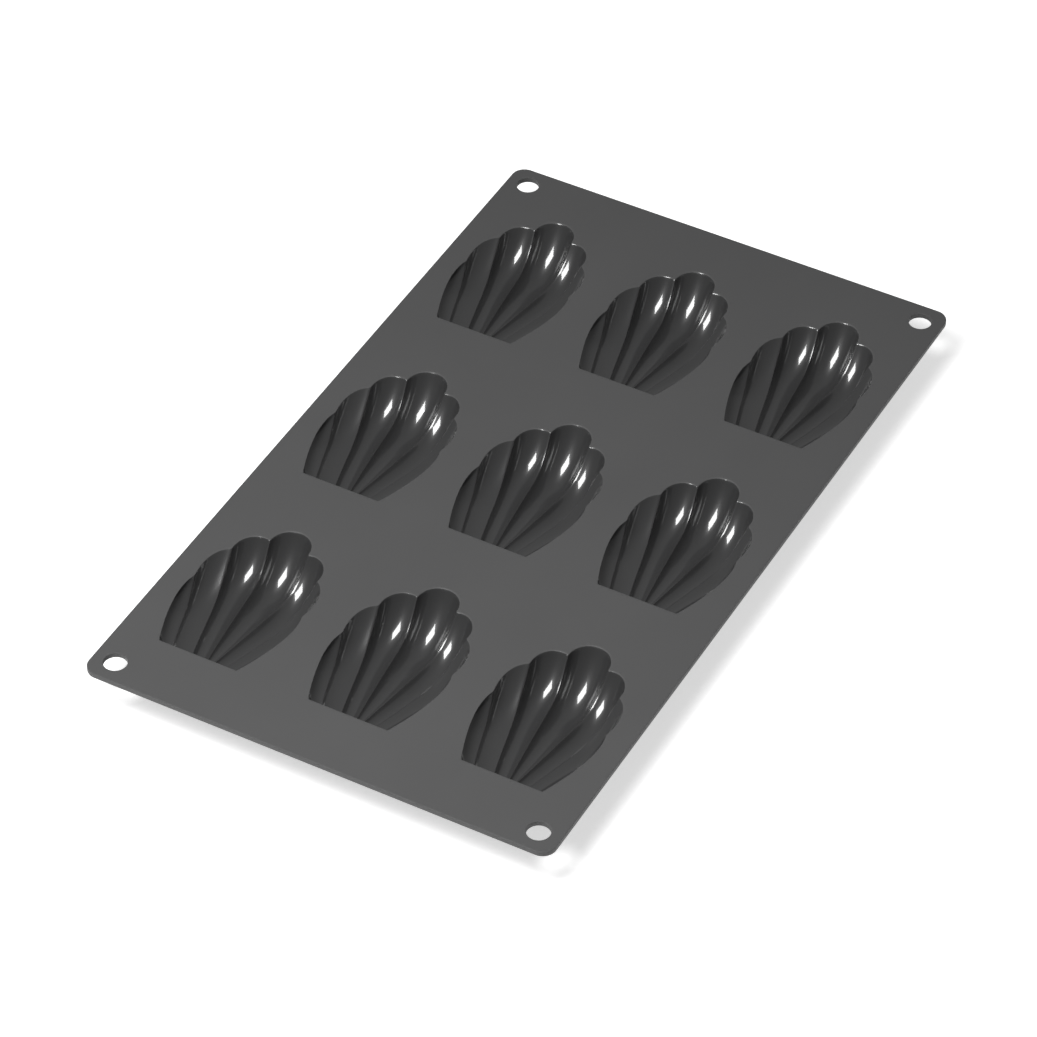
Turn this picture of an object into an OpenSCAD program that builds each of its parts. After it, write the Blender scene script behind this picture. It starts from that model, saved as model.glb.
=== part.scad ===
// Flexible baking mould with nine shell-shaped cups for madeleines.
// X runs across the columns, Y from the heels of the shells to their tips, Z up.
// The origin is under the middle of the mould, on the surface that it stands on.

/* [Sheet] */
// Width of the sheet, across the three columns
mould_w = 175; // [172:0.5:210]
// Length of the sheet, along the three rows
mould_l = 300; // [292:0.5:340]
// Height from the feet of the cups to the top face
mould_h = 17; // [14:0.5:22]
// Thickness of the flat sheet
sheet_t = 2; // [1.2:0.1:3]
// Radius of the corners of the sheet
corner_r = 5; // [2:0.5:12]

/* [Corner holes] */
// Diameter of each hole that the mould hangs from
hole_d = 8.2; // [5:0.2:9]
// From the middle of a hole to the long side of the sheet
hole_to_side = 8.2; // [7:0.2:12]
// From the middle of a hole to the short end of the sheet
hole_to_end = 8.2; // [7:0.2:12]

/* [Cup layout] */
// Spacing of the columns
pitch_x = 57.2; // [52:0.2:60]
// Spacing of the rows
pitch_y = 93.6; // [76:0.2:97]
// From the near end of the sheet to the heels of the first row
heel_margin = 24; // [16:0.2:32]

/* [Shell mouth] */
// Width of the straight heel
heel_w = 30; // [26:0.2:34]
// Width between the two ridges that end on the long sides
side_cusp_w = 41.6; // [38:0.2:44]
// Distance of those two ends from the heel
side_cusp_y = 32.4; // [28:0.2:38]
// Width between the two ridges that end on the shoulders
shoulder_cusp_w = 33.2; // [30:0.2:37]
// Distance of those two ends from the heel
shoulder_cusp_y = 49.4; // [46:0.2:52]
// Width between the two ridges beside the tip lobe
tip_cusp_w = 14.6; // [13:0.2:18]
// Distance of those two ends from the heel
tip_cusp_y = 58.8; // [57:0.2:63]
// How far the tip lobe bulges past the line between its ridges
tip_rise = 8.4; // [5:0.2:9]
// How far the next lobe on each side bulges
shoulder_rise = 3.9; // [2:0.1:4.5]
// How far the third lobe on each side bulges
flank_rise = 2.8; // [2:0.1:4.5]
// How far the long lobe along each side bulges
side_rise = 2.5; // [2:0.1:4]

/* [Shell bowl] */
// Depth of the two middle ridges below the top face
tip_ridge_depth = 10.9; // [8:0.1:12]
// Depth of the two shoulder ridges
shoulder_ridge_depth = 9.3; // [7:0.1:11]
// Depth of the two side ridges
side_ridge_depth = 6.3; // [4:0.1:8]
// Depth of the corners at each end of the heel wall
heel_corner_depth = 2.6; // [1.5:0.1:4]
// Width between the two middle ridges where they reach the heel wall
tip_ridge_heel_w = 1; // [0.8:0.1:3]
// Width between the two shoulder ridges at the heel wall
shoulder_ridge_heel_w = 10.2; // [7:0.2:12]
// Width between the two side ridges at the heel wall
side_ridge_heel_w = 23.4; // [20:0.2:25]
// Thickness of the cup wall
wall_t = 1.8; // [1:0.1:2.2]
// How much of the outside of the deepest flutes is cut off flat, for the cup to stand on
foot_cut = 0.9; // [0.3:0.1:1]

/* [Hidden] */
$fn = 64;
overrun = 1;
sheet_colour = [0.35, 0.35, 0.36];
cup_colour = [0.2, 0.2, 0.21];

// How far the heel wall leans in, as a share of its depth
heel_lean_share = 0.2;
// Fall of each ridge from its deepest point to the heel wall, as a share of its depth
ridge_fall_shares = [0.13, 0.1, 0.14];
// How much of each ridge's length it takes to reach full depth
ridge_dive_shares = [0.26, 0.48, 0.4];
// Outward bow of each ridge, as a share of its length
ridge_bow_shares = [0.008, 0.011, 0.014];
// Depth of each flute below its two ridges, as a share of the width between them
flute_sag_shares = [0.42, 0.41, 0.16, 0.15];
// How far each lobe leans towards the tip at the mouth, as a share of its bulge
lobe_lean_shares = [0, 0.15, 0.5, 1.5];
// How much of the length a flute takes to turn from the mouth's curve to its own
flute_turn_share = 0.45;
// Longest reach of the outer groove behind a ridge, in wall thicknesses
groove_share = 1.6;
// Places of the rows of points along each ridge, from the mouth to the heel wall
row_shares = [0, 0.03, 0.075, 0.135, 0.21, 0.31, 0.44, 0.6, 0.79, 1];
// Pieces that each lobe's curve is made of
lobe_steps = 5;

row_count = len(row_shares);
ridge_count = 8;
lobe_count = ridge_count - 1;
column_count = lobe_count * lobe_steps + 1;

// The four ridges of the right half, from the tip out to the heel corner.
cusps = [[tip_cusp_w / 2, tip_cusp_y], [shoulder_cusp_w / 2, shoulder_cusp_y],
    [side_cusp_w / 2, side_cusp_y], [heel_w / 2, 0]];
ridge_depths = [tip_ridge_depth, shoulder_ridge_depth, side_ridge_depth, heel_corner_depth];
heel_ws = [tip_ridge_heel_w, shoulder_ridge_heel_w, side_ridge_heel_w,
    heel_w - heel_lean_share * heel_corner_depth];
rises = [tip_rise, shoulder_rise, flank_rise, side_rise];

down = [0, 0, -1];
heelward = unit([0, -1, -heel_lean_share]);

function unit(v) = v / norm(v);
function mix(a, b, k) = a + (b - a) * k;
function dive(k) = 1 - (1 - min(1, k)) * (1 - min(1, k));

// Depth of right-hand ridge i at share s of its length.
function ridge_depth(i, s) = i == 3 ? heel_corner_depth * s
    : ridge_depths[i] * dive(s / ridge_dive_shares[i])
        * (1 - ridge_fall_shares[i] * max(0, s - ridge_dive_shares[i]) / (1 - ridge_dive_shares[i]));

// Where right-hand ridge i meets the heel wall, seen from above.
function ridge_foot(i) = [heel_ws[i] / 2, heel_lean_share * ridge_depth(i, 1)];

// Outward bow of right-hand ridge i at share s, seen from above.
function ridge_bow(i, s) = let(run = ridge_foot(i) - cusps[i])
    i == 3 ? [0, 0] : [-run[1], run[0]] * ridge_bow_shares[i] * 4 * s * (1 - s);

function right_ridge(i, s) = let(p = mix(cusps[i], ridge_foot(i), s) + ridge_bow(i, s))
    [p[0], p[1], -ridge_depth(i, s)];

// Ridge r of the whole shell, counted from the left heel corner to the right one.
function ridge(r, s) = let(left = r < ridge_count / 2)
    let(p = right_ridge(left ? ridge_count / 2 - 1 - r : r - ridge_count / 2, s))
    [left ? -p[0] : p[0], p[1], p[2]];

// Lobe k lies between ridges k and k + 1. Its kind counts out from the tip lobe.
function kind(k) = abs(k - (lobe_count - 1) / 2);
function chord(k, s) = ridge(k + 1, s) - ridge(k, s);

// Direction along the flutes, which turns from straight down at the mouth to heelward.
function sweep(s) = let(k = dive(s / flute_turn_share)) unit(mix(down, heelward, k));
function bulge_way(k, s) = unit(cross(unit(chord(k, s)), sweep(s)));
function sag_share(k, s) = mix(rises[kind(k)] / norm(chord(k, 0)), flute_sag_shares[kind(k)],
    dive(s / flute_turn_share));
function sag(k, s) = sag_share(k, s) * norm(chord(k, s));

// Lean of lobe k towards the tip, which the flute loses as it turns.
function lean(k, s) = lobe_lean_shares[kind(k)] * sign((lobe_count - 1) / 2 - k)
    * (1 - dive(s / flute_turn_share));

// Normal of lobe k where it meets its first ridge (end = -1) or its second (end = 1).
function end_normal(k, s, end) = let(half = 2 * atan(2 * sag_share(k, s)))
    bulge_way(k, s) * cos(half) + unit(chord(k, s)) * sin(half) * end;

// Offset of ridge r outward by t, mitred between the two surfaces that meet there.
function mitre(r, s, t) = let(a = r == 0 ? heelward : end_normal(r - 1, s, 1))
    let(b = r == ridge_count - 1 ? heelward : end_normal(r, s, -1))
    let(reach = min(groove_share, sqrt(2 / (1 + a * b))))
    r == 0 || r == ridge_count - 1 ? (a + b) / (1 + a * b) * t : unit(a + b) * reach * t;

// The last row of an offset surface moves out with the heel wall.
function heel_push(r, s, t) = s == 1 && r > 0 && r < ridge_count - 1 ? heelward * t : [0, 0, 0];
function offset_ridge(r, s, t) = ridge(r, s) + mitre(r, s, t) + heel_push(r, s, t);

// Sag of lobe k's offset surface over the line between its offset ridges.
function offset_sag(k, s, t) = sag(k, s) + t
    - (mitre(k, s, t) + mitre(k + 1, s, t)) / 2 * bulge_way(k, s);

// Point at share u across lobe k: a circular arc from one offset ridge to the other.
function lobe_point(k, s, u, t) = let(a = offset_ridge(k, s, t), b = offset_ridge(k + 1, s, t))
    let(width = norm(b - a), along = unit(b - a), rise = offset_sag(k, s, t))
    let(out = unit(cross(along, sweep(s))) + along * lean(k, s))
    let(radius = (width * width / 4 + rise * rise) / (2 * rise), half = 2 * atan(2 * rise / width))
    let(angle = (2 * u - 1) * half)
    (a + b) / 2 + along * radius * sin(angle) + out * (radius * cos(angle) - radius + rise);

function row_points(s, t) = [for (k = [0:lobe_count - 1]) for (j = [0:lobe_steps - 1])
    lobe_point(k, s, j / lobe_steps, t), offset_ridge(ridge_count - 1, s, t)];

// The outside starts at the underside of the sheet and ends flat on the feet.
function under_sheet(p) = let(stretch = (mould_h + foot_cut - sheet_t) / mould_h)
    [p[0], p[1], max(-mould_h, p[2] * stretch - sheet_t)];

inner_rows = [for (s = row_shares) row_points(s, 0)];
outer_rows = [for (s = row_shares) [for (p = row_points(s, wall_t)) under_sheet(p)]];
lip = [for (p = row_points(0, wall_t)) [p[0], p[1], 0]];

function strip(a, b, n) = [for (j = [0:n - 2]) each
    [[a + j, b + j, b + j + 1], [a + j, b + j + 1, a + j + 1]]];
function turned(faces) = [for (f = faces) [for (j = [len(f) - 1:-1:0]) f[j]]];

// Wall at the heel: a band down each corner, then the scalloped part under it.
function heel_faces(first, n) = [
    for (j = [0:row_count - 2]) each let(a = first + j * n, b = first + (j + 1) * n)
        [[a, a + n - 1, b], [a + n - 1, b + n - 1, b]],
    [for (j = [0:n - 1]) first + (row_count - 1) * n + n - 1 - j]
];

module shell_cup() {
    n = column_count;
    outer = n * row_count;
    rim = 2 * outer;
    points = concat([for (row = inner_rows) each row], [for (row = outer_rows) each row], lip);
    inside = concat([for (i = [0:row_count - 2]) each strip(i * n, (i + 1) * n, n)], heel_faces(0, n));
    outside = concat([for (i = [0:row_count - 2]) each strip(outer + i * n, outer + (i + 1) * n, n)],
        heel_faces(outer, n));
    edge = concat(strip(rim, 0, n), [[rim + n - 1, n - 1, 0], [rim + n - 1, 0, rim]]);
    side = concat(strip(outer, rim, n), [[outer + n - 1, rim + n - 1, rim], [outer + n - 1, rim, outer]]);
    polyhedron(points, concat(turned(inside), outside, turned(edge), turned(side)), convexity = 6);
}

module at_cup(column, row) {
    translate([column * pitch_x, -mould_l / 2 + heel_margin + (row + 1) * pitch_y, mould_h])
        children();
}

module cup(column, row) {
    color(cup_colour)
        at_cup(column, row)
            shell_cup();
}

module sheet_outline() {
    square([mould_w - 2 * corner_r, mould_l], center = true);
    square([mould_w, mould_l - 2 * corner_r], center = true);
    for (x = [-1, 1], y = [-1, 1])
        translate([x * (mould_w / 2 - corner_r), y * (mould_l / 2 - corner_r)])
            circle(r = corner_r);
}

module top_sheet() {
    color(sheet_colour)
        difference() {
            translate([0, 0, mould_h - sheet_t])
                linear_extrude(sheet_t)
                    sheet_outline();
            for (x = [-1, 1], y = [-1, 1])
                translate([x * (mould_w / 2 - hole_to_side), y * (mould_l / 2 - hole_to_end),
                    mould_h - sheet_t - overrun])
                    cylinder(d = hole_d, h = sheet_t + 2 * overrun);
            for (column = [-1:1], row = [-1:1])
                at_cup(column, row)
                    translate([0, 0, -sheet_t - overrun])
                        linear_extrude(sheet_t + 2 * overrun)
                            polygon([for (p = lip) [p[0], p[1]]]);
        }
}

top_sheet();
cup(-1, -1);  // cup_near_left
cup(0, -1);  // cup_near_middle
cup(1, -1);  // cup_near_right
cup(-1, 0);  // cup_centre_left
cup(0, 0);  // cup_centre_middle
cup(1, 0);  // cup_centre_right
cup(-1, 1);  // cup_far_left
cup(0, 1);  // cup_far_middle
cup(1, 1);  // cup_far_right
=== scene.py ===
# %% [markdown]
# # A madeleine pan of silicone rubber
#
# The real object is one soft moulding: a flat grey sheet with nine shell-shaped cups and a hole in
# each corner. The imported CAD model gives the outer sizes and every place, so this script starts by
# loading it. It then makes each piece again with a finer, rounder surface, because glossy rubber
# shows every facet, and it gives the rubber its two finishes.

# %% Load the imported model
import math
from functools import partial

import bmesh
import bpy
from mathutils import Matrix, Vector
from mathutils.geometry import delaunay_2d_cdt


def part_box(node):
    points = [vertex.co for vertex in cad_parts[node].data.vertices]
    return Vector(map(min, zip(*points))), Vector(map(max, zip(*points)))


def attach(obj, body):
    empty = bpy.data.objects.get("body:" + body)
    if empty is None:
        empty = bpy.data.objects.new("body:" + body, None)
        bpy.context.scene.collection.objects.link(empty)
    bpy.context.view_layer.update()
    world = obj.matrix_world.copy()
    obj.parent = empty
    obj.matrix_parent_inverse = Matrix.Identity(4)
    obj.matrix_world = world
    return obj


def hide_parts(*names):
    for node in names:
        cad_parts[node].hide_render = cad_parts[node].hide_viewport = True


MM = 0.001

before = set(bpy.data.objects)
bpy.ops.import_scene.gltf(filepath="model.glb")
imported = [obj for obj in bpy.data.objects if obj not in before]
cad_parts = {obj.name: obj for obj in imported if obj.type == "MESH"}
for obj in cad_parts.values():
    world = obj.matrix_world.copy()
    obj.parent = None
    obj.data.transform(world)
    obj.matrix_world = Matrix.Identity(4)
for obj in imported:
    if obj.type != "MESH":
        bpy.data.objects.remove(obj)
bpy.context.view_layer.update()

# %% [markdown]
# ## Sizes from the frame
#
# The outer sizes are read from the CAD nodes, so that they can't drift apart from the model. All
# lengths from here on are millimetres, and a mesh is scaled to metres only when it is made.

# %% Read the sheet and the cups
SHEET = "top_sheet"
CUPS = [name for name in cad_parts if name.startswith("cup_")]

sheet_low, sheet_high = [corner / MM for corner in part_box(SHEET)]
mould_w = sheet_high.x - sheet_low.x
mould_l = sheet_high.y - sheet_low.y
mould_h = sheet_high.z
sheet_t = sheet_high.z - sheet_low.z
print(f"sheet {mould_w:.1f} x {mould_l:.1f} x {sheet_t:.1f} mm, top at {mould_h:.1f}, {len(CUPS)} cups")

# %% [markdown]
# ## The camera
#
# The camera looks down at the mould from its near right side, through a long lens. Its place was
# found by matching the corners, the holes and the mouths of the cups with the photograph. It is
# written as an angle round the object, an angle above the table and a distance, which are easier to
# read than coordinates.

# %% Place the camera
PICTURE_PX = 1037
FOCAL_PX = 4911.5
SENSOR_MM = 36.0
VIEW_AZIMUTH = 28.56
VIEW_ELEVATION = 42.95
VIEW_DISTANCE = 1667.6
VIEW_ROLL = 0.18
VIEW_END_M = 20
AIM = Vector((4.15, -17.02, mould_h))
CENTRE_PX = Vector((519.7, 518.8))


def direction(azimuth, elevation):
    """Unit vector towards a place seen at these angles, in degrees, with azimuth 0 at the near end."""
    a, e = math.radians(azimuth), math.radians(elevation)
    return Vector((math.sin(a) * math.cos(e), -math.cos(a) * math.cos(e), math.sin(e)))


camera_data = bpy.data.cameras.new("camera")
camera_data.sensor_width = SENSOR_MM
camera_data.lens = FOCAL_PX / PICTURE_PX * SENSOR_MM
camera_data.shift_x = (PICTURE_PX / 2 - CENTRE_PX.x) / PICTURE_PX
camera_data.shift_y = (CENTRE_PX.y - PICTURE_PX / 2) / PICTURE_PX
camera_data.clip_end = VIEW_END_M
camera = bpy.data.objects.new("camera", camera_data)
bpy.context.scene.collection.objects.link(camera)
towards_camera = direction(VIEW_AZIMUTH, VIEW_ELEVATION)
camera.location = (AIM + towards_camera * VIEW_DISTANCE) * MM
level = towards_camera.to_track_quat("Z", "Y").to_matrix().to_4x4()
roll = Matrix.Rotation(math.radians(VIEW_ROLL), 4, "Z")
camera.rotation_euler = (level @ roll).to_euler()
bpy.context.scene.camera = camera
print(f"lens {camera_data.lens:.1f} mm at {[round(v, 3) for v in camera.location]} m")

# %% [markdown]
# ## The shell's sizes
#
# A madeleine cup is a fan: eight ridges run from the scalloped mouth to a straight heel wall, and a
# flute hangs between each pair. The model's source draws it from the ends and depths of the four
# ridges on one side, and the same values are used here. From the inside out, they stand for the tip
# ridge, the shoulder ridge, the side ridge and the corner of the heel. Only the outermost flutes hang
# deeper here than in the model, which brings their shading closer to the photograph.

# %% Sizes of a cup
CUSPS = [Vector((7.3, 58.8)), Vector((16.6, 49.4)), Vector((20.8, 32.4)), Vector((15, 0))]
RIDGE_DEPTHS = [10.9, 9.3, 6.3, 2.6]
LOBE_RISES = [8.4, 3.9, 2.8, 2.5]
LOBE_LEAN_SHARES = [0, 0.15, 0.5, 1.5]
WALL_T = 1.8
FOOT_CUT = 0.9

HEEL_LEAN_SHARE = 0.2
HEEL_CORNER = len(CUSPS) - 1
HEEL_HALF_WS = [0.5, 5.1, 11.7, CUSPS[HEEL_CORNER].x - HEEL_LEAN_SHARE * RIDGE_DEPTHS[HEEL_CORNER] / 2]
RIDGE_FALL_SHARES = [0.13, 0.1, 0.14]
RIDGE_DIVE_SHARES = [0.26, 0.48, 0.4]
RIDGE_BOW_SHARES = [0.008, 0.011, 0.014]
FLUTE_SAG_SHARES = [0.42, 0.41, 0.16, 0.24]
FLUTE_TURN_SHARE = 0.45
GROOVE_SHARE = 1.6

RIDGES = 2 * len(CUSPS)
LOBES = RIDGES - 1
TIP_LOBE = LOBES // 2
DOWN = Vector((0, 0, -1))
HEELWARD = Vector((0, -1, -HEEL_LEAN_SHARE)).normalized()
print(f"{LOBES} lobes between {RIDGES} ridges, {CUSPS[0].y + LOBE_RISES[0]:.1f} mm from heel to tip")

# %% [markdown]
# ## Ridges
#
# A place on a ridge is given by a share from 0, at the mouth, to 1, at the heel wall. The ridge
# dives quickly, then runs on almost level. The left half of the fan mirrors the right half.

# %% Lines of the ridges
def dive(k):
    """Rises from 0 to 1, fast at first, and stays at 1."""
    return 1 - (1 - min(1, k)) ** 2


def ridge_depth(i, s):
    """Depth of right-hand ridge i at share s."""
    if i == HEEL_CORNER:
        return RIDGE_DEPTHS[i] * s
    reach = RIDGE_DIVE_SHARES[i]
    fall = RIDGE_FALL_SHARES[i] * max(0, s - reach) / (1 - reach)
    return RIDGE_DEPTHS[i] * dive(s / reach) * (1 - fall)


def right_ridge(i, s):
    """Point of right-hand ridge i at share s."""
    foot = Vector((HEEL_HALF_WS[i], HEEL_LEAN_SHARE * ridge_depth(i, 1)))
    run = foot - CUSPS[i]
    flat = CUSPS[i].lerp(foot, s)
    if i != HEEL_CORNER:
        flat += Vector((-run.y, run.x)) * RIDGE_BOW_SHARES[i] * 4 * s * (1 - s)
    return Vector((flat.x, flat.y, -ridge_depth(i, s)))


def ridge(r, s):
    """Point of ridge r, counted from the left corner of the heel to the right one."""
    if r >= RIDGES // 2:
        return right_ridge(r - RIDGES // 2, s)
    p = right_ridge(RIDGES // 2 - 1 - r, s)
    return Vector((-p.x, p.y, p.z))


print("middle ridge:", [[round(v, 1) for v in ridge(RIDGES // 2, s)] for s in (0, 0.5, 1)])

# %% [markdown]
# ## Flutes
#
# Each flute is a circular arc swept along two ridges. At the mouth the arc lies flat, because there
# it is the outline of a lobe, and further in it hangs down. The outside of the cup is the same
# surface moved out by the wall's thickness, so every function takes that distance, t.

# %% Arcs of the flutes
def kind(k):
    """How many lobes k is away from the tip lobe."""
    return abs(k - TIP_LOBE)


def chord(k, s):
    """Straight line across lobe k, from ridge to ridge."""
    return ridge(k + 1, s) - ridge(k, s)


def sweep(s):
    """Direction along the flutes: down at the mouth, heelward further in."""
    return DOWN.lerp(HEELWARD, dive(s / FLUTE_TURN_SHARE)).normalized()


def sag_share(k, s):
    """Depth of the arc of lobe k as a share of its width."""
    at_mouth = LOBE_RISES[kind(k)] / chord(k, 0).length
    inside = FLUTE_SAG_SHARES[kind(k)]
    return at_mouth + (inside - at_mouth) * dive(s / FLUTE_TURN_SHARE)


def lean(k, s):
    """How far the arc of lobe k leans towards the tip, as a share of its rise."""
    tipward = (k < TIP_LOBE) - (k > TIP_LOBE)
    return LOBE_LEAN_SHARES[kind(k)] * tipward * (1 - dive(s / FLUTE_TURN_SHARE))


def bulge_way(k, s):
    """Direction in which the arc of lobe k bulges."""
    return chord(k, s).normalized().cross(sweep(s)).normalized()


def end_normal(k, s, end):
    """Normal of lobe k where it meets its first ridge (end = -1) or its second (end = 1)."""
    half = 2 * math.atan(2 * sag_share(k, s))
    return bulge_way(k, s) * math.cos(half) + chord(k, s).normalized() * math.sin(half) * end


def mitre(r, s, t):
    """How far ridge r moves when both surfaces that meet there move out by t."""
    a = HEELWARD if r == 0 else end_normal(r - 1, s, 1)
    b = HEELWARD if r == RIDGES - 1 else end_normal(r, s, -1)
    if r in (0, RIDGES - 1):
        return (a + b) / (1 + a.dot(b)) * t
    return (a + b).normalized() * min(GROOVE_SHARE, math.sqrt(2 / (1 + a.dot(b)))) * t


def offset_ridge(r, s, t):
    """Point of ridge r on the surface that is moved out by t."""
    push = HEELWARD * t if s == 1 and 0 < r < RIDGES - 1 else Vector((0, 0, 0))
    return ridge(r, s) + mitre(r, s, t) + push


def lobe_point(k, s, u, t):
    """Point at share u across lobe k, on the arc from one moved ridge to the other."""
    a, b = offset_ridge(k, s, t), offset_ridge(k + 1, s, t)
    width, along = (b - a).length, (b - a).normalized()
    moved = (mitre(k, s, t) + mitre(k + 1, s, t)) / 2
    rise = sag_share(k, s) * chord(k, s).length + t - moved.dot(bulge_way(k, s))
    out = along.cross(sweep(s)).normalized() + along * lean(k, s)
    radius = (width * width / 4 + rise * rise) / (2 * rise)
    angle = (2 * u - 1) * 2 * math.atan(2 * rise / width)
    across = along * radius * math.sin(angle)
    return (a + b) / 2 + across + out * (radius * math.cos(angle) - radius + rise)


TRY_STEPS = 40
deepest = min(lobe_point(TIP_LOBE, step / TRY_STEPS, 0.5, 0).z for step in range(TRY_STEPS + 1))
print(f"deepest point of the inside: {deepest:.1f} mm")

# %% [markdown]
# ## Rounding with a subdivision surface
#
# A rubber moulding has no knife-sharp edges. A bevel would need an edge list and trips over
# the places where three edges meet, so the cup is made as a subdivision surface. Its cage has a
# close extra line on each side of every edge that should stay crisp. The closer those lines, the
# tighter the round. Shares across a lobe and along the flutes give the cage's lines.

# %% Lines of the cage
ACROSS_SHARES = [0, 0.05, 0.15, 0.26, 0.38, 0.5, 0.62, 0.74, 0.85, 0.95]
INSIDE_SHARES = [0, 0.01, 0.03, 0.055, 0.085, 0.12, 0.16, 0.205, 0.255, 0.31, 0.37, 0.435,
                 0.505, 0.58, 0.66, 0.74, 0.82, 0.89, 0.945, 0.98, 1]
OUTSIDE_SHARES = [0, 0.03, 0.08, 0.14, 0.21, 0.31, 0.44, 0.58, 0.73, 0.87, 0.97, 1]
RIM_ROUND = 0.3
HEEL_ROUND = 0.7
COLUMNS = LOBES * len(ACROSS_SHARES) + 1


def wing(s, t):
    """One row of points across all lobes, from the left corner of the heel to the right one."""
    row = [lobe_point(k, s, u, t) for k in range(LOBES) for u in ACROSS_SHARES]
    return row + [offset_ridge(RIDGES - 1, s, t)]


def under_sheet(p):
    """Fits the outside between the underside of the sheet and the flat foot."""
    stretch = (mould_h + FOOT_CUT - sheet_t) / mould_h
    return Vector((p.x, p.y, max(-mould_h, p.z * stretch - sheet_t)))


def heel_line(row):
    """Points of the straight heel, from the right corner back to the left one."""
    left, right = row[0], row[-1]
    return [right.lerp(left, j / (COLUMNS - 1)) for j in range(1, COLUMNS - 1)]


def loop_round_mouth(t, z):
    """Closed loop round the mouth, moved out by t and laid flat at height z."""
    row = wing(0, t)
    return [Vector((p.x, p.y, z)) for p in row + heel_line(row)]


print(f"{COLUMNS} columns, {len(INSIDE_SHARES)} rows inside and {len(OUTSIDE_SHARES)} outside")

# %% [markdown]
# ## The cage
#
# The cage is a list of points and a list of faces. Rings of points are laid down one after another
# and bridged with four-sided faces. The heel wall is a flat window in the inside surface, so it has
# a frame of narrow faces all round, to round its edges, and upright strips in the middle.

# %% Tools for the cage
class Cage:
    """Points and faces of a mesh that is being laid out ring by ring."""

    def __init__(self):
        self.points = []
        self.faces = []

    def add(self, points):
        """Adds points, and gives back their numbers."""
        first = len(self.points)
        self.points += points
        return list(range(first, len(self.points)))

    def bridge(self, a, b, closed=False):
        """Lays a strip of faces between two rows of points."""
        last = len(a) if closed else len(a) - 1
        for j in range(last):
            k = (j + 1) % len(a)
            self.faces.append((a[j], a[k], b[k], b[j]))


def close_heel(cage, loop, rows):
    """Fills the heel wall below a loop's straight side, between the ends of the rows.

    The wall's outline and its inner frame both run from left to right and from top to bottom.
    """
    top = [loop[0]] + loop[:COLUMNS - 2:-1]
    left = [row[0] for row in rows]
    right = [row[-1] for row in rows]
    bottom = rows[-1]
    high, low = cage.points[top[COLUMNS // 2]], cage.points[bottom[COLUMNS // 2]]
    up = Vector((0, high.y - low.y, high.z - low.z)).normalized() * HEEL_ROUND
    half_w = cage.points[top[-1]].x

    def moved(index, rise):
        p = cage.points[index]
        return p + up * rise - Vector((p.x / half_w * HEEL_ROUND, 0, 0))

    def framed(side, end):
        """Inner points beside one upright side, between two corners of the inner frame."""
        steps = len(side) - 1
        between = cage.add([moved(side[i], 2 * i / steps - 1) for i in range(1, steps)])
        return [in_top[end]] + between + [in_bottom[end]]

    in_top = cage.add([moved(index, -1) for index in top])
    in_bottom = cage.add([moved(index, 1) for index in bottom])
    in_left = framed(left, 0)
    in_right = framed(right, -1)
    cage.bridge(top, in_top)
    cage.bridge(bottom, in_bottom)
    cage.bridge(left, in_left)
    cage.bridge(right, in_right)
    cage.bridge(in_top[1:-1], in_bottom[1:-1])
    cage.faces.append(tuple(in_left + [in_bottom[1], in_top[1]]))
    cage.faces.append(tuple(in_right + [in_bottom[-2], in_top[-2]]))


def lay_skin(cage, loop, shares, t, place):
    """Lays the rows of one surface of the cup below a loop round its mouth."""
    rows = [loop[:COLUMNS]]
    for s in shares[1:]:
        rows.append(cage.add([place(p) for p in wing(s, t)]))
        cage.bridge(rows[-2], rows[-1])
    close_heel(cage, loop, rows)


# %% [markdown]
# ## One cup as a pattern
#
# The cage goes once round: from the outer edge of the flat lip over the rim, down the inside, and
# back up the outside to the underside of the sheet. All nine cups are copies of this one.

# %% Lay out the cup's cage
cage = Cage()
lip_top = cage.add(loop_round_mouth(WALL_T, 0))
rim_guard = cage.add(loop_round_mouth(RIM_ROUND, 0))
mouth = cage.add(loop_round_mouth(0, 0))
lip_under = cage.add(loop_round_mouth(WALL_T, -sheet_t))
cage.bridge(lip_top, rim_guard, closed=True)
cage.bridge(rim_guard, mouth, closed=True)
cage.bridge(lip_top, lip_under, closed=True)
inside_faces_start = len(cage.faces)
lay_skin(cage, mouth, INSIDE_SHARES, 0, lambda p: p)
inside_faces_end = len(cage.faces)
lay_skin(cage, lip_under, OUTSIDE_SHARES, WALL_T, under_sheet)
cup_low_y = min(p.y for p in cage.points)
print(f"cage of {len(cage.points)} points and {len(cage.faces)} faces")

# %% [markdown]
# The lip's outer edges have to stay sharp, because there the cup meets the sheet, so they are
# creased. The faces of the inside get the second material. The subdivision is then applied, and
# what comes out is a plain mesh.

# %% Round the cup
ROUNDING_LEVELS = 1
FOLD_ANGLE = math.radians(55)
SATIN, POLISHED = 0, 1


def mesh_from(name, points, faces):
    """A mesh in metres from points in millimetres, with its normals facing out."""
    mesh = bpy.data.meshes.new(name)
    mesh.from_pydata([p * MM for p in points], [], faces)
    work = bmesh.new()
    work.from_mesh(mesh)
    bmesh.ops.recalc_face_normals(work, faces=work.faces)
    work.to_mesh(mesh)
    work.free()
    return mesh


def add_object(name, mesh):
    """A new object in the scene that shows a mesh."""
    piece = bpy.data.objects.new(name, mesh)
    bpy.context.scene.collection.objects.link(piece)
    return piece


def baked(piece):
    """The mesh of a piece with its modifiers applied."""
    graph = bpy.context.evaluated_depsgraph_get()
    graph.update()
    return bpy.data.meshes.new_from_object(piece.evaluated_get(graph), depsgraph=graph)


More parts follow.
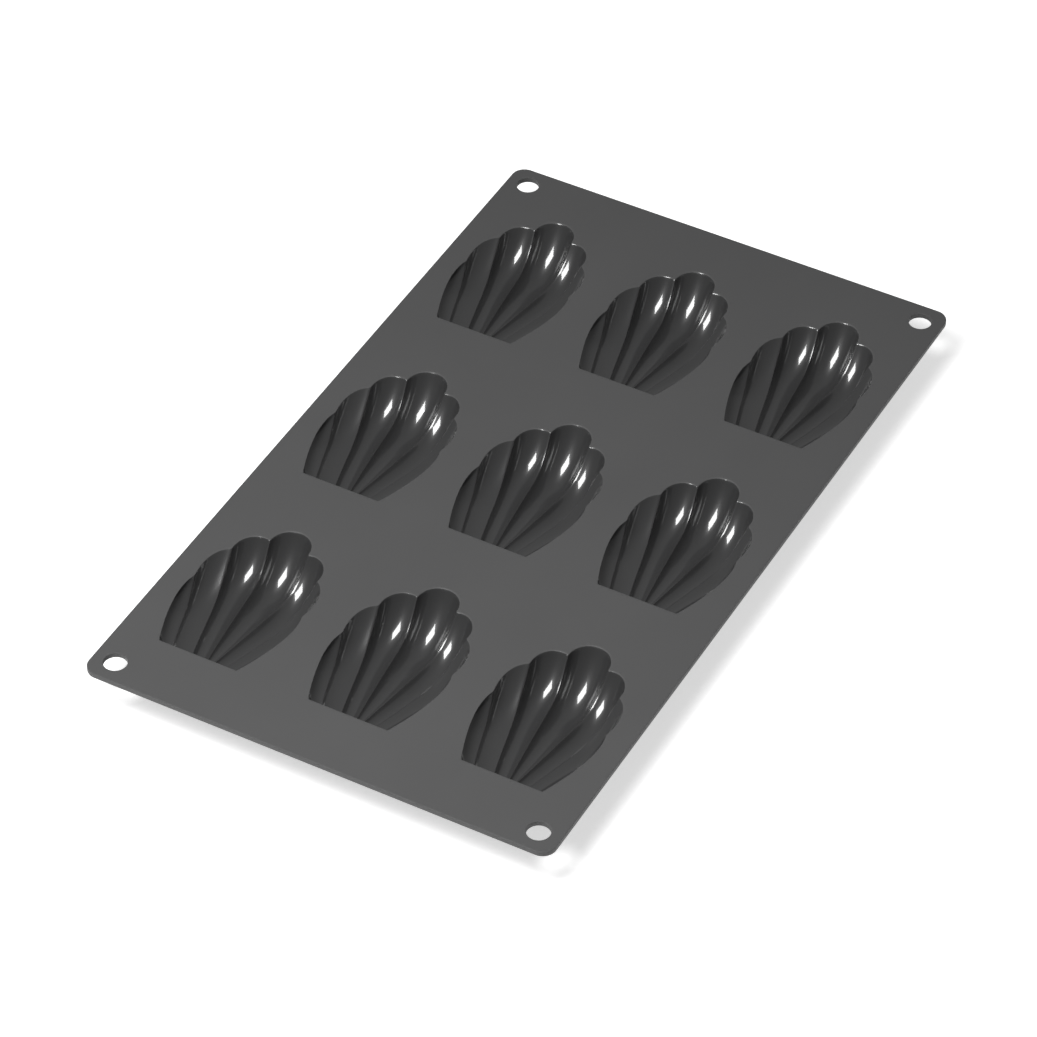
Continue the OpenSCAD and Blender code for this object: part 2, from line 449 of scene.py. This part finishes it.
draft_mesh = mesh_from("cup_draft", cage.points, cage.faces)
crease = draft_mesh.attributes.new("crease_edge", "FLOAT", "EDGE")
lip_sets = [set(lip_top), set(lip_under)]
for edge in draft_mesh.edges:
    if any(edge.vertices[0] in ring and edge.vertices[1] in ring for ring in lip_sets):
        crease.data[edge.index].value = 1
for index, polygon in enumerate(draft_mesh.polygons):
    polygon.material_index = POLISHED if inside_faces_start <= index < inside_faces_end else SATIN
for finish in (SATIN, POLISHED):
    draft_mesh.materials.append(None)
draft = add_object("cup_draft", draft_mesh)
rounding = draft.modifiers.new("rounding", "SUBSURF")
rounding.levels = rounding.render_levels = ROUNDING_LEVELS
cup_pattern = baked(draft)
bpy.data.objects.remove(draft)
print(f"cup pattern: {len(cup_pattern.polygons)} faces")

# %% [markdown]
# ## Where the cups meet the sheet
#
# The sheet's openings have to follow the lips point for point, or light would leak between them.
# So the ring of the lip is read back from the finished cup: it is made of the edges between a face
# that looks up and a face that looks sideways, at the height of the top.

# %% Read the lip's ring
TOP_PRECISION = 0.01
UPRIGHT_BELOW = 0.5


def lip_ring(mesh):
    """Points of the lip's top edge, in order, as pairs in millimetres."""
    work = bmesh.new()
    work.from_mesh(mesh)
    edges = [edge for edge in work.edges
             if all(abs(v.co.z) < TOP_PRECISION * MM for v in edge.verts)
             and min(abs(face.normal.z) for face in edge.link_faces) < UPRIGHT_BELOW]
    links = {}
    for edge in edges:
        a, b = edge.verts
        links.setdefault(a.index, []).append(b)
        links.setdefault(b.index, []).append(a)
    start = previous = edges[0].verts[0]
    here = edges[0].verts[1]
    ring = [start.co.copy()]
    while here.index != start.index:
        ring.append(here.co.copy())
        step = [v for v in links[here.index] if v.index != previous.index][0]
        previous, here = here, step
    work.free()
    return [Vector((p.x, p.y)) / MM for p in ring]


LIP_RING = lip_ring(cup_pattern)
print(f"lip ring of {len(LIP_RING)} points")

# %% [markdown]
# ## Nine cups
#
# Each cup stands where its CAD node stands, found from that node's box, and takes over from it.

# %% Copy the cup to its nine places
cup_places = {}
cup_pieces = []
for name in CUPS:
    low, high = [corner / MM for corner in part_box(name)]
    place = Vector(((low.x + high.x) / 2, low.y - cup_low_y, mould_h))
    cup_places[name] = place
    mesh = cup_pattern.copy()
    mesh.name = name.replace("cup_", "shell_")
    mesh.transform(Matrix.Translation(place * MM))
    mesh.shade_smooth()
    mesh.set_sharp_from_angle(angle=FOLD_ANGLE)
    piece = add_object(mesh.name, mesh)
    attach(piece, "root")
    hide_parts(name)
    cup_pieces.append(piece)
print("heels at", sorted({round(p.y, 1) for p in cup_places.values()}), "mm")

# %% [markdown]
# ## The sheet
#
# The sheet is flat, and its edge and the rims of its holes are crisp, with only the fine round that
# a moulded edge has. Both are made from rings: the same outline drawn again and again, a little
# further out and lower each time, along a quarter of a circle.

# %% Outlines of the sheet
CORNER_R = 5.0
HOLE_R = 4.1
HOLE_TO_SIDE = 8.2
HOLE_TO_END = 8.2
EDGE_ROUND = 0.2
HOLE_ROUND = 0.15
UNDER_ROUND = 0.2
CORNER_STEPS = 12
HOLE_STEPS = 48
ROUND_STEPS = 5


def sheet_outline(inset):
    """Corner arcs of the sheet's outline, moved in by a distance."""
    points = []
    for quarter, (sx, sy) in enumerate([(1, 1), (-1, 1), (-1, -1), (1, -1)]):
        centre = Vector((sx * (mould_w / 2 - CORNER_R), sy * (mould_l / 2 - CORNER_R)))
        for step in range(CORNER_STEPS + 1):
            angle = math.radians(90 * (quarter + step / CORNER_STEPS))
            points.append(centre + Vector((math.cos(angle), math.sin(angle))) * (CORNER_R - inset))
    return points


def hole_outline(centre, grow):
    """Circle round a hole, widened by a distance."""
    angles = [2 * math.pi * step / HOLE_STEPS for step in range(HOLE_STEPS)]
    return [centre + Vector((math.cos(a), math.sin(a))) * (HOLE_R + grow) for a in angles]


def rounded_edge(outline, top_round, under_round):
    """Rings (points, height) from the top face over a rounded edge to the underside.

    The outline is a function that draws itself moved into the sheet by a distance.
    """
    rings = []
    for step in range(ROUND_STEPS + 1):
        turn = math.pi / 2 * step / ROUND_STEPS
        rings.append((outline(top_round * (1 - math.sin(turn))), -top_round * (1 - math.cos(turn))))
    for step in range(ROUND_STEPS + 1):
        turn = math.pi / 2 * step / ROUND_STEPS
        drop = sheet_t - under_round * (1 - math.sin(turn))
        rings.append((outline(under_round * (1 - math.cos(turn))), -drop))
    return rings


HOLE_CENTRES = [Vector((sx * (mould_w / 2 - HOLE_TO_SIDE), sy * (mould_l / 2 - HOLE_TO_END)))
                for sx in (-1, 1) for sy in (-1, 1)]
edge_rings = rounded_edge(sheet_outline, EDGE_ROUND, UNDER_ROUND)
print(f"edge profile of {len(edge_rings)} rings, {len(HOLE_CENTRES)} corner holes")

# %% [markdown]
# The top and the underside are flat faces with many openings. A constrained triangulation fills
# them: it keeps every edge of the outline and of the openings. Each opening is handed in as a face
# of its own, so the triangles that come from one can be told apart and left out.

# %% Tools for the faces of the sheet
FACE_MARGIN = 0.5
FILL_PRECISION = 1e-6
INSIDE_OUTLINE = 1


def signed_area(ring):
    """Area inside a ring, positive where it runs anticlockwise."""
    return sum(a.x * b.y - b.x * a.y for a, b in zip(ring, ring[1:] + ring[:1])) / 2


def fill_face(outer, openings):
    """Triangles between an outline and its openings, as points and index triples."""
    points = list(outer)
    edges = [(j, (j + 1) % len(outer)) for j in range(len(outer))]
    left_out = []
    for ring in openings:
        first = len(points)
        points += ring if signed_area(ring) > 0 else ring[::-1]
        left_out.append(list(range(first, len(points))))
    found = delaunay_2d_cdt(points, edges, left_out, INSIDE_OUTLINE, FILL_PRECISION)
    return found[0], [face for face, sources in zip(found[2], found[5]) if not sources]


def ring_at(points, z):
    """Points of the plane at a height."""
    return [Vector((p.x, p.y, z)) for p in points]


def with_margins(rings, outline, top, under):
    """Adds a narrow flat ring on each face, so that the shading of the round ends there."""
    return [(outline(top + FACE_MARGIN), 0)] + rings + [(outline(under + FACE_MARGIN), -sheet_t)]


print(f"flat margins of {FACE_MARGIN} mm round each edge")

# %% [markdown]
# The sheet's points and faces are laid out in the same kind of cage as the cup's: first the outer
# edge, then the walls of the four holes and of the nine openings, and last the two flat faces.

# %% Lay out the sheet
sheet = Cage()


def lay_rings(rings):
    """Bridges rings one after another."""
    laid = [sheet.add(ring_at(points, z)) for points, z in rings]
    for a, b in zip(laid, laid[1:]):
        sheet.bridge(a, b, closed=True)


lay_rings(with_margins(edge_rings, sheet_outline, EDGE_ROUND, UNDER_ROUND))
for centre in HOLE_CENTRES:
    outline = partial(hole_outline, centre)
    rings = rounded_edge(outline, HOLE_ROUND, UNDER_ROUND)
    lay_rings(with_margins(rings, outline, HOLE_ROUND, UNDER_ROUND))
lip_outlines = [[p + place.xy for p in LIP_RING] for place in cup_places.values()]
for ring in lip_outlines:
    lay_rings([(ring, 0), (ring, -sheet_t)])

for z, rounding_r, hole_r in ((0, EDGE_ROUND, HOLE_ROUND), (-sheet_t, UNDER_ROUND, UNDER_ROUND)):
    holes = [hole_outline(centre, hole_r + FACE_MARGIN) for centre in HOLE_CENTRES]
    points, triangles = fill_face(sheet_outline(rounding_r + FACE_MARGIN), holes + lip_outlines)
    first = len(sheet.points)
    sheet.add(ring_at(points, z))
    sheet.faces += [tuple(first + index for index in triangle) for triangle in triangles]
print(f"sheet of {len(sheet.points)} points and {len(sheet.faces)} faces")

# %% [markdown]
# The rings and the flat faces have points in the same places. Welding those points joins them into
# one closed mesh. Folds sharper than the fold angle stay sharp in the shading.

# %% Make the sheet
WELD = 0.002

sheet_mesh = mesh_from("sheet", [p + Vector((0, 0, mould_h)) for p in sheet.points], sheet.faces)
work = bmesh.new()
work.from_mesh(sheet_mesh)
bmesh.ops.remove_doubles(work, verts=work.verts, dist=WELD * MM)
bmesh.ops.recalc_face_normals(work, faces=work.faces)
open_edges = sum(1 for edge in work.edges if not edge.is_manifold)
work.to_mesh(sheet_mesh)
work.free()
sheet_mesh.shade_smooth()
sheet_mesh.set_sharp_from_angle(angle=FOLD_ANGLE)
sheet_piece = add_object("sheet", sheet_mesh)
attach(sheet_piece, "root")
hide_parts(SHEET)
print(f"sheet mesh: {len(sheet_mesh.polygons)} faces, {open_edges} open edges")

# %% [markdown]
# ## The rubber
#
# One grey rubber has two finishes: the flat faces are satin and the cups are glossy. That is how a
# rubber part comes out of a tool that is sand-blasted on its flats and polished in its hollows. A
# shader node group gives both finishes a fine grain and the faint cloudiness of silicone, and each
# material places it with a grain of its own size.

# %% Shader group: grain and bloom
def new_group(name, inputs, outputs):
    """An empty shader group with named number inputs and outputs."""
    group = bpy.data.node_groups.new(name, "ShaderNodeTree")
    for label, value in inputs:
        socket = group.interface.new_socket(label, in_out="INPUT", socket_type="NodeSocketFloat")
        socket.default_value = value
    for label in outputs:
        group.interface.new_socket(label, in_out="OUTPUT", socket_type="NodeSocketFloat")
    return group


grain = new_group("rubber_grain", [("Grain Size", 0.3), ("Bloom Size", 40)], ["Height", "Bloom"])
nodes, links = grain.nodes, grain.links
given, result = nodes.new("NodeGroupInput"), nodes.new("NodeGroupOutput")
place = nodes.new("ShaderNodeTexCoord")


def noise_at(size_socket, detail):
    """A noise whose spots have the size, in millimetres, that a socket gives."""
    per_metre = nodes.new("ShaderNodeMath")
    per_metre.operation = "DIVIDE"
    per_metre.inputs[0].default_value = 1 / MM
    links.new(size_socket, per_metre.inputs[1])
    texture = nodes.new("ShaderNodeTexNoise")
    texture.inputs["Detail"].default_value = detail
    links.new(place.outputs["Object"], texture.inputs["Vector"])
    links.new(per_metre.outputs[0], texture.inputs["Scale"])
    return texture.outputs["Fac"]


links.new(noise_at(given.outputs["Grain Size"], detail=2), result.inputs["Height"])
links.new(noise_at(given.outputs["Bloom Size"], detail=3), result.inputs["Bloom"])
print("shader group", grain.name, "outputs", [item.name for item in grain.interface.items_tree])

# %% [markdown]
# Both finishes are made by one function. The cloudiness moves the colour and the roughness between
# two close values, and the grain is a very low bump. The polished finish also gets a thin clear
# coat, which gives the sharp white mirror images of the soft box on dark, duller rubber.

# %% Materials
RUBBER_IOR = 1.43
COAT_IOR = 1.6
COAT_ROUGHNESS = 0.05


def rubber(name, dark, light, rough, grain_size, grain_depth, coat=0.0):
    """Grey rubber between two tones, with roughness from a low to a high value."""
    material = bpy.data.materials.new(name)
    material.use_nodes = True
    nodes, links = material.node_tree.nodes, material.node_tree.links
    shader = nodes["Principled BSDF"]
    shader.inputs["IOR"].default_value = RUBBER_IOR
    shader.inputs["Coat Weight"].default_value = coat
    shader.inputs["Coat Roughness"].default_value = COAT_ROUGHNESS
    shader.inputs["Coat IOR"].default_value = COAT_IOR
    surface = nodes.new("ShaderNodeGroup")
    surface.node_tree = grain
    surface.inputs["Grain Size"].default_value = grain_size
    tone = nodes.new("ShaderNodeMix")
    tone.data_type = "RGBA"
    tone.inputs["A"].default_value = (*dark, 1)
    tone.inputs["B"].default_value = (*light, 1)
    links.new(surface.outputs["Bloom"], tone.inputs["Factor"])
    links.new(tone.outputs["Result"], shader.inputs["Base Color"])
    gloss = nodes.new("ShaderNodeMapRange")
    gloss.inputs["To Min"].default_value, gloss.inputs["To Max"].default_value = rough
    links.new(surface.outputs["Bloom"], gloss.inputs["Value"])
    links.new(gloss.outputs["Result"], shader.inputs["Roughness"])
    bump = nodes.new("ShaderNodeBump")
    bump.inputs["Distance"].default_value = grain_depth * MM
    links.new(surface.outputs["Height"], bump.inputs["Height"])
    links.new(bump.outputs["Normal"], shader.inputs["Normal"])
    return material


satin = rubber("satin_rubber", dark=(0.087, 0.087, 0.0875), light=(0.097, 0.097, 0.0975),
               rough=(0.5, 0.6), grain_size=0.5, grain_depth=0.02)
polished = rubber("polished_rubber", dark=(0.039, 0.039, 0.0395), light=(0.045, 0.045, 0.0455),
                  rough=(0.3, 0.34), grain_size=0.8, grain_depth=0.002, coat=1.0)
sheet_mesh.materials.append(satin)
for piece in cup_pieces:
    for slot_index, material in enumerate((satin, polished)):
        piece.material_slots[slot_index].material = material
print("materials:", satin.name, polished.name)

# %% [markdown]
# ## The table
#
# The mould lies on a white table. The table glows a little where the camera sees it, straight on or
# in a mirror image, so that it comes out white but still shows the shadow. Making the light
# stronger instead would also wash out the rubber.

# %% Make the table
FLOOR_SIZE_M = 8.0
FLOOR_TONE = 0.9
FLOOR_ROUGHNESS = 0.9
FLOOR_GLOW = 0.6

floor_mesh = bpy.data.meshes.new("floor")
half = FLOOR_SIZE_M / 2
corners = [(-half, -half, 0), (half, -half, 0), (half, half, 0), (-half, half, 0)]
floor_mesh.from_pydata(corners, [], [(0, 1, 2, 3)])
floor = add_object("floor", floor_mesh)
floor_material = bpy.data.materials.new("white_table")
floor_material.use_nodes = True
shader = floor_material.node_tree.nodes["Principled BSDF"]
shader.inputs["Base Color"].default_value = (FLOOR_TONE, FLOOR_TONE, FLOOR_TONE, 1)
shader.inputs["Roughness"].default_value = FLOOR_ROUGHNESS
shader.inputs["Specular IOR Level"].default_value = 0
shader.inputs["Emission Color"].default_value = (1, 1, 1, 1)
nodes, links = floor_material.node_tree.nodes, floor_material.node_tree.links
path = nodes.new("ShaderNodeLightPath")
mirrored, seen, glow = [nodes.new("ShaderNodeMath") for step in range(3)]
mirrored.operation = seen.operation = "MAXIMUM"
glow.operation = "MULTIPLY"
glow.inputs[1].default_value = FLOOR_GLOW
links.new(path.outputs["Is Glossy Ray"], mirrored.inputs[0])
links.new(path.outputs["Is Transmission Ray"], mirrored.inputs[1])
links.new(path.outputs["Is Camera Ray"], seen.inputs[0])
links.new(mirrored.outputs[0], seen.inputs[1])
links.new(seen.outputs[0], glow.inputs[0])
links.new(glow.outputs[0], shader.inputs["Emission Strength"])
floor_mesh.materials.append(floor_material)
print(f"table {FLOOR_SIZE_M:.0f} m wide, glow {FLOOR_GLOW}")

# %% [markdown]
# ## The soft box
#
# A large soft box hangs above the near end of the mould and makes the white patches in the flutes.
# Its direction, size and turn come from where those patches lie and how they slant.

# %% Hang the soft box
BOX_DIRECTION = Vector((-0.13, -0.47, 0.873)).normalized()
BOX_DISTANCE = 900
BOX_SIZE = (465, 368)
BOX_SIDE = Vector((0.58, 0.64, 0.50))
BOX_WATTS = 8.2

box_data = bpy.data.lights.new("soft_box", "AREA")
box_data.shape = "RECTANGLE"
box_data.size, box_data.size_y = [side * MM for side in BOX_SIZE]
box_data.energy = BOX_WATTS
soft_box = bpy.data.objects.new("soft_box", box_data)
bpy.context.scene.collection.objects.link(soft_box)
z_axis = BOX_DIRECTION
x_axis = (BOX_SIDE - z_axis * BOX_SIDE.dot(z_axis)).normalized()
y_axis = z_axis.cross(x_axis)
turn = Matrix((x_axis, y_axis, z_axis)).transposed().to_4x4()
box_place = BOX_DIRECTION * BOX_DISTANCE + Vector((0, 0, mould_h))
soft_box.matrix_world = Matrix.Translation(box_place * MM) @ turn
print("soft box at", [round(v) for v in box_place], "mm")

# %% [markdown]
# ## Light from all round
#
# The rest of the light comes from all round and keeps the shadow soft. It is weakest on the near
# side and grows towards the far side, which the flutes mirror as a faint sheen.

# %% Light the surroundings
WORLD_NEAR, WORLD_FAR = 0.05, 0.22

world = bpy.data.worlds.new("world")
bpy.context.scene.world = world
world.use_nodes = True
nodes, links = world.node_tree.nodes, world.node_tree.links
sky = nodes["Background"]
sky.inputs["Color"].default_value = (1, 1, 1, 1)
ray = nodes.new("ShaderNodeTexCoord")
split = nodes.new("ShaderNodeSeparateXYZ")
fade = nodes.new("ShaderNodeMapRange")
fade.inputs["From Min"].default_value = -1
fade.inputs["To Min"].default_value, fade.inputs["To Max"].default_value = WORLD_NEAR, WORLD_FAR
links.new(ray.outputs["Generated"], split.inputs["Vector"])
links.new(split.outputs["Y"], fade.inputs["Value"])
links.new(fade.outputs["Result"], sky.inputs["Strength"])
bpy.context.scene.view_settings.view_transform = "Standard"
print("world strength from", WORLD_NEAR, "to", WORLD_FAR)
